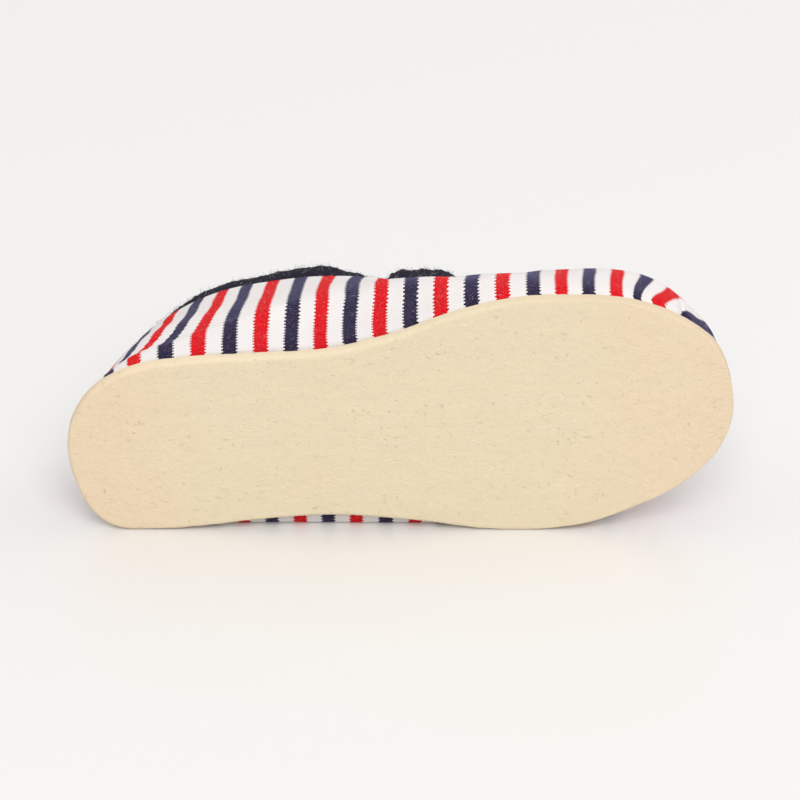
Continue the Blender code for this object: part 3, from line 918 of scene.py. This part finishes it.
def fuzzTree():
    tree = bpy.data.node_groups.new("looseFibres", "GeometryNodeTree")
    face = tree.interface
    face.new_socket("Geometry", in_out="INPUT", socket_type="NodeSocketGeometry")
    for label in ("Density", "Length", "Radius", "Tilt", "Wave"):
        face.new_socket(label, in_out="INPUT", socket_type="NodeSocketFloat")
    face.new_socket("Seed", in_out="INPUT", socket_type="NodeSocketInt")
    face.new_socket("Material", in_out="INPUT", socket_type="NodeSocketMaterial")
    face.new_socket("Geometry", in_out="OUTPUT", socket_type="NodeSocketGeometry")
    given = addNode(tree, "NodeGroupInput").outputs
    spread = addNode(tree, "GeometryNodeDistributePointsOnFaces", {
        "Mesh": given["Geometry"], "Density": given["Density"], "Seed": given["Seed"]})
    line = addNode(tree, "GeometryNodeCurveQuadraticBezier", {
        "Resolution": 6, "Start": (0.0, 0.0, 0.0), "Middle": (0.1, 0.0, 0.6), "End": (0.5, 0.0, 0.9)})
    part = addNode(tree, "GeometryNodeSplineParameter")
    marked = addNode(tree, "GeometryNodeStoreNamedAttribute", {
        "Geometry": line, "Name": "tip", "Value": part.outputs["Factor"]}, domain="POINT")
    sized = addNode(tree, "GeometryNodeTransform", {"Geometry": marked})
    scale = addNode(tree, "ShaderNodeCombineXYZ", {0: given["Length"], 1: given["Length"],
                                                   2: given["Length"]})
    tree.links.new(scale.outputs[0], sized.inputs["Scale"])
    wire = addNode(tree, "GeometryNodeCurvePrimitiveCircle", {"Resolution": 3,
                                                              "Radius": given["Radius"]})
    thin = addNode(tree, "ShaderNodeMapRange", {"Value": part.outputs["Factor"], "To Min": 1.0,
                                                "To Max": 0.35})
    hair = addNode(tree, "GeometryNodeCurveToMesh", {"Curve": sized, "Profile Curve": wire,
                                                     "Scale": thin, "Fill Caps": True})
    spin = addNode(tree, "FunctionNodeRandomValue", {"Max": 2.0 * math.pi, "Seed": given["Seed"]})
    lean = addNode(tree, "FunctionNodeRandomValue", {"Max": given["Tilt"], "Seed": 7})
    aim = addNode(tree, "ShaderNodeCombineXYZ", {0: 0.0, 1: lean, 2: spin})
    aimed = addNode(tree, "FunctionNodeEulerToRotation", {"Euler": aim})
    turned = addNode(tree, "FunctionNodeRotateRotation", {
        "Rotation": spread.outputs["Rotation"], "Rotate By": aimed}, rotation_space="LOCAL")
    sizes = addNode(tree, "FunctionNodeRandomValue", {"Min": 0.35, "Max": 1.0, "Seed": 9})
    hairs = addNode(tree, "GeometryNodeInstanceOnPoints", {
        "Points": spread.outputs["Points"], "Instance": hair, "Rotation": turned, "Scale": sizes})
    loose = addNode(tree, "GeometryNodeRealizeInstances", {"Geometry": hairs})
    tip = addNode(tree, "GeometryNodeInputNamedAttribute", {"Name": "tip"})
    wander = addNode(tree, "ShaderNodeTexNoise", {"Scale": 420.0, "Detail": 1.0})
    shift = addNode(tree, "ShaderNodeVectorMath", {0: wander.outputs["Color"],
                                                   1: (-0.5, -0.5, -0.5)}, operation="ADD")
    reach = addNode(tree, "ShaderNodeMath", {0: given["Length"], 1: given["Wave"]},
                    operation="MULTIPLY")
    amount = addNode(tree, "ShaderNodeMath", {0: reach, 1: tip.outputs["Attribute"]},
                     operation="MULTIPLY")
    offset = addNode(tree, "ShaderNodeVectorMath", {0: shift, "Scale": amount}, operation="SCALE")
    bent = addNode(tree, "GeometryNodeSetPosition", {"Geometry": loose, "Offset": offset})
    dyed = addNode(tree, "GeometryNodeSetMaterial", {"Geometry": bent,
                                                     "Material": given["Material"]})
    addNode(tree, "NodeGroupOutput", {"Geometry": dyed})
    return tree


def addFuzz(name, skin, tree, sizes, material):
    base = bpy.data.objects.new(name, loftMesh(name, skin, closed=False))
    bpy.context.scene.collection.objects.link(base)
    growth = base.modifiers.new("fibres", "NODES")
    growth.node_group = tree
    values = {"Density": sizes["density"], "Length": sizes["length"], "Radius": sizes["radius"],
              "Tilt": sizes["tilt"], "Wave": fuzz["wave"], "Seed": sizes["seed"], "Material": material}
    for socket in tree.interface.items_tree:
        if socket.in_out == "INPUT" and socket.name in values:
            growth[socket.identifier] = values[socket.name]
    graph = bpy.context.evaluated_depsgraph_get()
    mesh = bpy.data.meshes.new_from_object(base.evaluated_get(graph))
    bpy.data.objects.remove(base)
    mesh.materials.clear()
    # a hair that meets the floor lies along it
    spots = np.empty(3 * len(mesh.vertices), dtype=np.float32)
    mesh.vertices.foreach_get("co", spots)
    spots[2::3] = np.maximum(spots[2::3], fuzz["floorGap"])
    mesh.vertices.foreach_set("co", spots)
    addPiece(name, mesh, material, [])


def fibreMaterial(name, colour):
    return startMaterial(name, **{
        "Base Color": hexColour(colour), "Roughness": 0.8, "Specular IOR Level": 0.2})[0]


studio = {
    "floor": "#E7E6E6",
    "floorRoughness": 0.22,
    "room": "#FFFEFC",      # white sweep all round, darker low in front where the camera stands
    "roomStrength": 0.81,
    "darkFront": 0.6,
    "softboxes": {
        # size in metres, watts, place
        "frontSoftbox": (3.0, 160.0, (0.4, -3.5, 3.5)),
        "sideSoftbox": (1.2, 6.0, (1.9, 0.5, 0.8)),
    },
}

view = {
    "elevation": 30.0,      # degrees above the horizon
    "distance": 1.0,        # metres
    "width": 0.2093,        # metres across the frame at the shoe
    "rise": 0.03414,        # middle of the frame above the tread's resting edge, along the picture
    "right": 0.00013,
    "restingBand": 0.0008,  # height of the tread's lowest strip, where it meets the floor
}


def addStudio():
    reach = 4.0
    corners = [(-reach, -reach, 0), (reach, -reach, 0), (reach, reach, 0), (-reach, reach, 0)]
    mesh = bpy.data.meshes.new("floor")
    mesh.from_pydata(corners, [], [(0, 1, 2, 3)])
    floor = bpy.data.objects.new("floor", mesh)
    bpy.context.scene.collection.objects.link(floor)
    material = startMaterial("whiteAcrylicSheet", **{
        "Base Color": hexColour(studio["floor"]), "Roughness": studio["floorRoughness"]})[0]
    mesh.materials.append(material)
    world = bpy.data.worlds.new("whiteSweep")
    world.use_nodes = True
    tree = world.node_tree
    spot = addNode(tree, "ShaderNodeTexCoord").outputs["Object"]
    aim = addNode(tree, "ShaderNodeSeparateXYZ", {"Vector": spot})
    front = addNode(tree, "ShaderNodeMapRange", {"Value": aim.outputs["Y"], "From Min": 0.1,
                                                 "From Max": -0.6}, interpolation_type="SMOOTHSTEP")
    low = addNode(tree, "ShaderNodeMapRange", {"Value": aim.outputs["Z"], "From Min": 0.95,
                                               "From Max": 0.3}, interpolation_type="SMOOTHSTEP")
    dark = addNode(tree, "ShaderNodeMath", {0: front, 1: low}, operation="MULTIPLY")
    power = addNode(tree, "ShaderNodeMath", {0: dark, 1: -studio["darkFront"],
                                             2: studio["roomStrength"]}, operation="MULTIPLY_ADD")
    sky = tree.nodes["Background"]
    sky.inputs["Color"].default_value = hexColour(studio["room"])
    tree.links.new(power.outputs[0], sky.inputs["Strength"])
    bpy.context.scene.world = world
    for name, (size, watts, spot) in studio["softboxes"].items():
        lamp = bpy.data.lights.new(name, "AREA")
        lamp.size, lamp.energy = size, watts
        box = bpy.data.objects.new(name, lamp)
        box.location = spot
        box.rotation_euler = (-Vector(spot)).to_track_quat("-Z", "Y").to_euler()
        bpy.context.scene.collection.objects.link(box)
    bpy.context.scene.view_settings.view_transform = "Standard"


def addCamera():
    low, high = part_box("outsole")
    tread = np.array([v.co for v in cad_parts["outsole"].data.vertices])
    resting = tread[tread[:, 2] < low.z + view["restingBand"]][:, 1].min()
    tip = math.radians(view["elevation"])
    ahead = Vector((0.0, math.cos(tip), -math.sin(tip)))
    upward = Vector((0.0, math.sin(tip), math.cos(tip)))
    aim = Vector(((low.x + high.x) / 2 + view["right"], resting, 0.0)) + upward * view["rise"]
    lens = bpy.data.cameras.new("camera")
    lens.sensor_width = 36.0
    lens.lens = lens.sensor_width * view["distance"] / view["width"]
    camera = bpy.data.objects.new("camera", lens)
    camera.matrix_world = Matrix.Translation(aim - ahead * view["distance"]) @ Matrix(
        ((1.0, 0.0, 0.0), upward, -ahead)).transposed().to_4x4()
    bpy.context.scene.collection.objects.link(camera)
    bpy.context.scene.camera = camera


def shoeRing(count):
    # even points around the shoe, closer together at the darts
    close = np.linspace(-0.012, 0.012, 17)
    spot = ringPosition(folds["dartAlong"])
    return np.unique(np.concatenate((evenRing(count), close + spot, close - spot)))


addStudio()
addCamera()
print("studio and camera ready")

makeCrepeSole()
print("crepe sole made")

woolFelt = feltMaterial()
makeFootbed(woolFelt)
rimSkin = makeFeltShell(shoeRing(felt["around"]), woolFelt)
print("felt made")

jerseySkin = makeJersey(shoeRing(jersey["around"]))
print("striped jersey made")

fibres = fuzzTree()
addFuzz("collarFuzz", rimSkin, fibres, fuzz["rim"],
        fibreMaterial("navyWoolFibre", "#23222F"))
addFuzz("collarLint", rimSkin, fibres, fuzz["rimPale"],
        fibreMaterial("paleWoolFibre", "#D9D6DC"))
addFuzz("jerseyLint", jerseySkin, fibres, fuzz["jersey"],
        fibreMaterial("looseCottonFibre", "#F2EFF3"))
print("loose fibres made")
